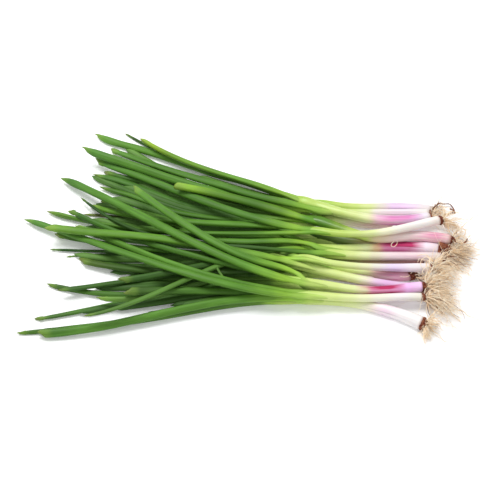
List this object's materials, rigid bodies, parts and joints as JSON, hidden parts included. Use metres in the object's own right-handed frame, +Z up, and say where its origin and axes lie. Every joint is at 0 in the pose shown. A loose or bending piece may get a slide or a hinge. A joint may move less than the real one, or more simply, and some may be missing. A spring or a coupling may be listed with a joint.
{
  "type": "spring onion bunch",
  "caption": "Loose bunch of fresh spring onions lying flat: long green leaves fanned out, pale and magenta shanks side by side, with fine tan roots.",
  "frame": {"origin": "middle of the bunch's footprint, on the surface that it lies on", "axes": "+X from the leaf tips towards the roots, +Y across the fan of leaves, +Z up"},
  "size_m": [0.393, 0.2396, 0.0333],
  "materials": {
    "leaf": "waxy mid green with fine lengthwise ribs, paler towards the neck",
    "shank": "smooth satin white running to yellow-green at the neck, with lilac or magenta skin on most",
    "root": "dry tan fibres"
  },
  "bodies": {
    "root": {"shank_01": "shank", "roots_01": "root", "leaf_01a": "leaf", "leaf_01b": "leaf", "shank_02": "shank", "roots_02": "root", "leaf_02a": "leaf", "leaf_02b": "leaf", "shank_03": "shank", "roots_03": "root", "leaf_03a": "leaf", "leaf_03b": "leaf", "shank_04": "shank", "roots_04": "root", "leaf_04a": "leaf", "leaf_04b": "leaf", "leaf_04c": "leaf", "shank_05": "shank", "roots_05": "root", "leaf_05a": "leaf", "leaf_05b": "leaf", "shank_06": "shank", "roots_06": "root", "leaf_06a": "leaf", "leaf_06b": "leaf", "shank_07": "shank", "roots_07": "root", "leaf_07a": "leaf", "leaf_07b": "leaf", "leaf_07c": "leaf", "shank_08": "shank", "roots_08": "root", "leaf_08a": "leaf", "leaf_08b": "leaf", "leaf_08c": "leaf", "shank_09": "shank", "roots_09": "root", "leaf_09a": "leaf", "leaf_09b": "leaf", "leaf_09c": "leaf", "shank_10": "shank", "roots_10": "root", "leaf_10a": "leaf", "leaf_10b": "leaf", "leaf_10c": "leaf", "shank_11": "shank", "roots_11": "root", "leaf_11a": "leaf", "leaf_11b": "leaf", "leaf_11c": "leaf", "shank_12": "shank", "roots_12": "root", "leaf_12a": "leaf", "leaf_12b": "leaf", "leaf_12c": "leaf", "shank_13": "shank", "roots_13": "root", "leaf_13a": "leaf", "leaf_13b": "leaf", "leaf_13c": "leaf"}
  },
  "joints": []
}
